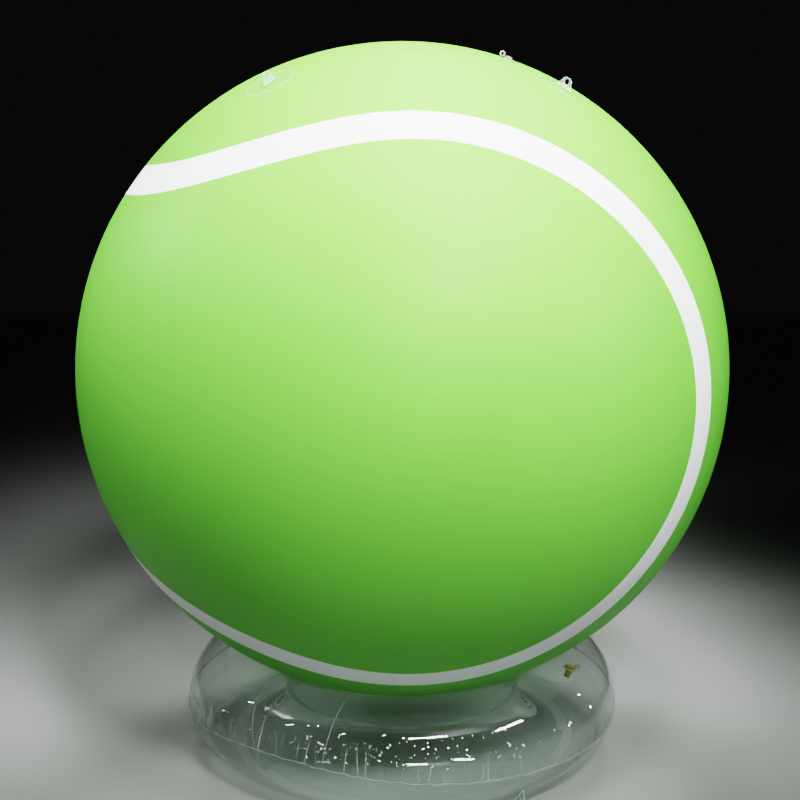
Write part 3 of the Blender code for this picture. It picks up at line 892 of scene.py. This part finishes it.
class CROWDBALL_OT_patches(bpy.types.Operator):
    """Build the round clear patches that the eyelet plates stand on"""

    bl_idname = "crowdball.patches"
    bl_label = "Tab patches"

    def execute(self, context):
        ball, ring = context.scene.crowd_ball, context.scene.crowd_ring
        fit = context.scene.crowd_fittings
        clear = clear_paint("clear_patch", (0.99, 0.995, 0.99, 1.0), 0.02, 0.05, 0.0, 0.20)
        on_ball = patch_sheet(fit.ball_patch, fit.patch)
        on_ring = patch_sheet(fit.ring_patch, fit.patch)
        grids = on_tabs(
            "patch", lambda azimuth: ball_patch_points(ball, azimuth, fit.tab_polar, on_ball),
            lambda azimuth: ring_patch_points(ring, azimuth, fit.ring_tab_tilt, on_ring))
        for node, points in grids.items():
            # The beads' values paint them milky, partly as a painted highlight
            piece = surface(node.replace("patch", "disc"), points, values=on_ball[3])
            finished(piece, clear, "clear_film", node)
        return {"FINISHED"}


def plate_points(fit):
    """The eyelet plate, X along its base and Y up: a loop carried round the eye.

    Each section runs between the eye's rim and the bell-shaped outline on the same ray from
    the eye's middle. The outline is half an ellipse over the eye, and below it the plate
    flares to its foot. The plate is thin, with a raised rim round the eye and a wide foot.
    The second array is how milky its edges and foot are painted, partly as a painted highlight.
    """
    height = np.linspace(0, 1, 200)
    top = fit.top - fit.eye_height
    waist = 1.5 * top
    over_eye = np.clip((height * fit.top - fit.eye_height) / top, 0, 1)
    half = waist * np.sqrt(np.clip(1 - over_eye ** 2, 0, 1))
    under_eye = np.clip(1 - height * fit.top / fit.eye_height, 0, 1)
    flare = (fit.base / 2 - waist) * under_eye ** 1.2
    right = np.stack([half + flare, height * fit.top], -1)
    bottom = np.stack([np.linspace(-1, 1, 80) * fit.base / 2, np.zeros(80)], -1)
    outline = np.concatenate([bottom, right, right[::-1] * (-1, 1)])
    ray = outline - (0.0, fit.eye_height)
    bearing = np.arctan2(ray[:, 1], ray[:, 0])
    order = np.argsort(bearing)
    angle = np.linspace(-math.pi, math.pi, 160, endpoint=False)
    reach = np.interp(angle, bearing[order], np.hypot(*ray.T)[order], period=FULL_TURN)
    along, over = squared(round_turn(28)[None, :], 0.6)
    radius = fit.eye + (reach[:, None] - fit.eye) * (0.5 + 0.5 * along)
    x = radius * np.cos(angle)[:, None]
    y = fit.eye_height + radius * np.sin(angle)[:, None]
    thick = PLATE + EYE_RIM * np.exp(-((radius - fit.eye - 0.0012) / 0.0013) ** 2)
    thick = thick + PLATE_FOOT * np.exp(-(y / 0.0016) ** 2)
    # Edges and foot painted milky: partly the moulding's whitening, partly a painted highlight
    milk_and_highlight = 0.9 * np.abs(along) ** 4 + 0.4 * np.exp(-(y / 0.0030) ** 2)
    return np.stack([x, y, over * thick / 2], -1), milk_and_highlight


class CROWDBALL_OT_plates(bpy.types.Operator):
    """Build the clear eyelet plates on the crown and under the ring's seam"""

    bl_idname = "crowdball.plates"
    bl_label = "Eyelet plates"

    def execute(self, context):
        ball, ring = context.scene.crowd_ball, context.scene.crowd_ring
        fit = context.scene.crowd_fittings
        clear = clear_paint("clear_moulding", tuple(fit.clear), 0.14, 1.6, 0.08, 0.05)
        points, milk_and_highlight = plate_points(fit)
        lift = GAP + fit.patch
        seats = on_tabs(
            "plate", lambda azimuth: ball_seat(ball, azimuth, fit.tab_polar, lift),
            lambda azimuth: ring_seat(ring, azimuth, fit.ring_tab_tilt, lift))
        for node, matrix in seats.items():
            piece = surface(node.replace("plate", "eyelet"), placed(matrix, points), True, milk_and_highlight)
            finished(piece, clear, "clear_film", node)
        return {"FINISHED"}


# Valves

def swept(path, across, section):
    """Carry a flat outline along a path: its x lies across and its y square to both."""
    upright = unit(np.cross(np.gradient(path, axis=0), across))
    sideways = section[None, :, :1] * across
    return path[:, None] + sideways + section[None, :, 1:] * upright[:, None]


def valve_body(fit):
    """Flange and neck: a rounded outline turned about Y."""
    corners = [(fit.valve_bore, -0.024), (fit.valve_neck, -0.024), (fit.valve_neck, GAP),
               (fit.valve_flange, GAP), (fit.valve_flange, 0.0018),
               (0.0118, 0.0025), (fit.valve_bore, 0.0025)]
    return lathed(rounded(corners, 0.0006))


def plug_head():
    """Stem, domed head and a dished top, turned about Y."""
    corners = [(0.0, -0.016), (0.0057, -0.016), (0.0057, 0.0028), (0.0090, 0.0028),
               (0.0090, 0.0078), (0.0062, 0.0078), (0.0056, 0.0070), (0.0, 0.0070)]
    return lathed(rounded(corners, 0.0008, closed=False))


def pull_ear():
    """An upright ring: a rounded loop carried round its eye, standing on the strap's end."""
    angle = round_turn(72)[:, None]
    along, over = squared(round_turn(20)[None, :], 0.75)
    radius = 0.0054 + 0.0024 * along
    return np.stack([0.0190 + radius * np.cos(angle), 0.0094 + radius * np.sin(angle),
                     0.0015 * over + 0 * angle], -1)


def strap_points():
    """The strap from the head to the ear: a rounded bar on a low arch, its ends closed."""
    share = np.linspace(0, 1, 24)
    path = np.stack([0.004 + 0.016 * share, 0.0040 + 0.0012 * np.sin(math.pi * share),
                     0 * share], -1)
    section = rounded([(-0.0035, -0.0011), (0.0035, -0.0011), (0.0035, 0.0011),
                       (-0.0035, 0.0011)], 0.0009)
    bar = swept(path, np.array([0.0, 0.0, 1.0]), section)
    ends = np.repeat(bar[[0, -1]].mean(1, keepdims=True), bar.shape[1], 1)
    return np.concatenate([ends[:1], bar, ends[1:]]).transpose(1, 0, 2)


def joined(name, parts):
    """Join pieces into one object of that name."""
    merged = bmesh.new()
    for part in parts:
        merged.from_mesh(part.data)
        bpy.data.objects.remove(part, do_unlink=True)
    mesh = bpy.data.meshes.new(name)
    merged.to_mesh(mesh)
    merged.free()
    piece = bpy.data.objects.new(name, mesh)
    bpy.context.scene.collection.objects.link(piece)
    return piece


class CROWDBALL_OT_valves(bpy.types.Operator):
    """Build the ball's and the ring's valve, each with its plug, strap and pull ear"""

    bl_idname = "crowdball.valves"
    bl_label = "Valves"

    def execute(self, context):
        ball, ring = context.scene.crowd_ball, context.scene.crowd_ring
        fit = context.scene.crowd_fittings
        vinyl = {"ball": vinyl_paint("valve_vinyl", tuple(fit.vinyl)),
                 "ring": vinyl_paint("yellowed_vinyl", tuple(fit.aged_vinyl))}
        (over, polar, turn), (along, tilt, twist) = BALL_VALVE, RING_VALVE
        seats = {"ball": ball_seat(ball, over, math.radians(polar), 0.0, turn),
                 "ring": ring_seat(ring, along, math.radians(tilt), 0.0, twist)}
        for owner, matrix in seats.items():
            body = surface(f"{owner}_valve_flange", placed(matrix, valve_body(fit)), True)
            head = surface("head", placed(matrix, plug_head()))
            strap = surface("strap", placed(matrix, strap_points()))
            ear = surface("ear", placed(matrix, pull_ear()), True)
            plug = joined(f"{owner}_valve_stopper", [head, strap, ear])
            for piece, node in ((body, "body"), (plug, "plug")):
                finished(piece, vinyl[owner], "valve_white", f"{owner}_valve_{node}")
        return {"FINISHED"}


# Stage

def soft_light(target, name, azimuth, elevation, distance, size, power, spread, mirrored=True):
    """A rectangular light at a bearing from its target, turned to it, behind a grid.

    The grid narrows it to its spread. One that isn't mirrored leaves no image of itself in
    the gloss. The camera sees none of them.
    """
    data = bpy.data.lights.new(name, "AREA")
    data.shape = "RECTANGLE"
    data.size, data.size_y = size
    data.energy = power
    data.spread = math.radians(spread)
    light = bpy.data.objects.new(name, data)
    tilt = math.radians(elevation)
    away = facing(azimuth) * math.cos(tilt) + Vector((0.0, 0.0, math.sin(tilt)))
    light.location = target + away * distance
    light.rotation_euler = away.to_track_quat("Z", "Y").to_euler()
    light.visible_camera = False
    light.visible_glossy = mirrored
    bpy.context.scene.collection.objects.link(light)


# Each light: name, azimuth, elevation, distance, size, power, spread, and whether it is
# mirrored. The lamps are the ones that the ring's gloss shows as glints.
LIGHT_AIM = Vector((0.0, 0.0, 0.3))  # from the ball's centre
LAMP_AIM = Vector((0.12, -0.5, 0.3))  # from the floor under it
SOFT_LIGHTS = (
    ("overhead", 0, 88, 4.2, (1.4, 1.4), 1.5, 36, False),
    ("key", 15, 62, 4.4, (1.3, 1.0), 7.4, 34, False),
    ("front", 20, 40, 4.4, (1.3, 1.0), 13.2, 34, False),
    ("front_low", 5, 18, 4.4, (1.3, 1.0), 6.8, 34, False),
    ("front_left", -50, 28, 4.4, (1.0, 1.2), 1.8, 34, False),
    ("front_right", 55, 25, 4.4, (1.0, 1.2), 1.4, 34, False),
    ("side_left", -95, 30, 4.4, (1.0, 1.2), 4.8, 34, False),
    ("side_right", 95, 30, 4.4, (1.0, 1.2), 0.8, 34, False),
    ("back", 180, 45, 4.4, (1.4, 1.0), 12.0, 55, False),
    ("back_left", -150, 30, 4.4, (1.3, 1.3), 9.5, 55, False),
    ("back_right", 150, 30, 4.4, (1.3, 1.3), 9.0, 55, False),
    ("sheen_top", 165, 69, 3.6, (2.0, 1.4), 0.8, 50, True),
    ("sheen_front", 36, 48, 4.4, (3.0, 2.4), 1.6, 34, True),
    ("sheen_left", -84, 40, 4.4, (1.2, 1.2), 0.9, 34, True),
)
LAMPS = (
    ("front_strip", 14, 48.5, 2.5, (0.80, 0.15), 1.0, 50),
    ("right_strip", 69, 39.5, 2.5, (0.84, 0.15), 1.0, 50),
    ("left_lamp", -91, 44, 2.5, (0.20, 0.10), 0.35, 50),
) + tuple(("low_lamp", azimuth, elevation, 2.5, (0.04, 0.11), 0.035, 50)
          for azimuth, elevation in (
              (-107, 30), (-100, 8), (-87, 20), (-76, 33), (-69, 42), (-67, 47), (-62, 12),
              (-50, 17), (-45, 45), (-44, 38), (-40, 6), (-36, 12), (-27, 29), (-24, 22),
              (-17, 54), (-15, 8), (-10, 30), (-5, 2), (-3, 49), (2, 0), (10, 9), (10, 29),
              (23, 4), (24, 26), (32, 18), (38, 0), (49, 0), (55, 14), (60, 1), (72, 0),
              (84, 6), (95, 2), (112, 1), (116, 19)))


class CROWDBALL_OT_stage(bpy.types.Operator):
    """Lay the pale floor, hang the soft lights and set the camera"""

    bl_idname = "crowdball.stage"
    bl_label = "Stage"

    def execute(self, context):
        scene = context.scene
        stage = scene.crowd_stage
        ball = scene.crowd_ball
        angle = round_turn(FLOOR_STEPS)[:, None]
        radius = np.array([[0.0, 4.0, 30.0]])
        floor = surface("studio_floor", np.stack(
            [radius * np.cos(angle), radius * np.sin(angle), 0 * radius * angle], -1))
        paint = Paint("studio_floor")
        paper = paint.noise(3.0, 4.0)
        floor.data.materials.append(paint.finish(paint.principled({
            "Base Color": paint.blend(paper, tuple(stage.floor), shaded(stage.floor, 0.96)),
            "Roughness": 0.75,
        })))
        world = bpy.data.worlds.new("studio")
        world.use_nodes = True
        world.node_tree.nodes["Background"].inputs["Color"].default_value = stage.surround
        scene.world = world
        middle = Vector((0.0, 0.0, ball.height))
        for values in SOFT_LIGHTS:
            soft_light(middle + LIGHT_AIM, *values)
        for values in LAMPS:
            soft_light(LAMP_AIM, *values)
        camera = bpy.data.objects.new("camera", bpy.data.cameras.new("camera"))
        scene.collection.objects.link(camera)
        away = Vector((0.0, -math.cos(stage.elevation), math.sin(stage.elevation)))
        camera.location = middle + away * stage.distance
        camera.rotation_euler = (math.pi / 2 - stage.elevation, 0.0, 0.0)
        camera.data.lens = stage.lens
        camera.data.shift_x, camera.data.shift_y = stage.shift
        scene.camera = camera
        scene.view_settings.view_transform = "Filmic"
        scene.view_settings.look = "Very High Contrast"
        return {"FINISHED"}


class CROWDBALL_PT_panel(bpy.types.Panel):
    """Lists the operators and the settings"""

    bl_idname = "CROWDBALL_PT_panel"
    bl_label = "Crowd ball"
    bl_space_type = "VIEW_3D"
    bl_region_type = "UI"
    bl_category = "Crowd Ball"

    def draw(self, context):
        for operator in OPERATORS:
            self.layout.operator(operator.bl_idname)
        for name in SETTINGS:
            group = getattr(context.scene, name)
            box = self.layout.box()
            for prop in group.__annotations__:
                box.prop(group, prop)


SETTINGS = {"crowd_ball": BallSettings, "crowd_ring": RingSettings,
            "crowd_fittings": FittingSettings, "crowd_stage": StageSettings}
OPERATORS = (CROWDBALL_OT_stage, CROWDBALL_OT_envelope, CROWDBALL_OT_ring_film,
             CROWDBALL_OT_ring_welds, CROWDBALL_OT_patches, CROWDBALL_OT_plates,
             CROWDBALL_OT_valves)


def register():
    """Register the settings, the operators and the panel."""
    for name, group in SETTINGS.items():
        bpy.utils.register_class(group)
        setattr(bpy.types.Scene, name, PointerProperty(type=group))
    for made in OPERATORS + (CROWDBALL_PT_panel,):
        bpy.utils.register_class(made)


def unregister():
    """Take away what register added."""
    for made in reversed(OPERATORS + (CROWDBALL_PT_panel,)):
        bpy.utils.unregister_class(made)
    for name, group in SETTINGS.items():
        delattr(bpy.types.Scene, name)
        bpy.utils.unregister_class(group)


def main():
    """Build every piece."""
    register()
    for operator in OPERATORS:
        group, name = operator.bl_idname.split(".")
        getattr(getattr(bpy.ops, group), name)()


if __name__ == "__main__":
    main()
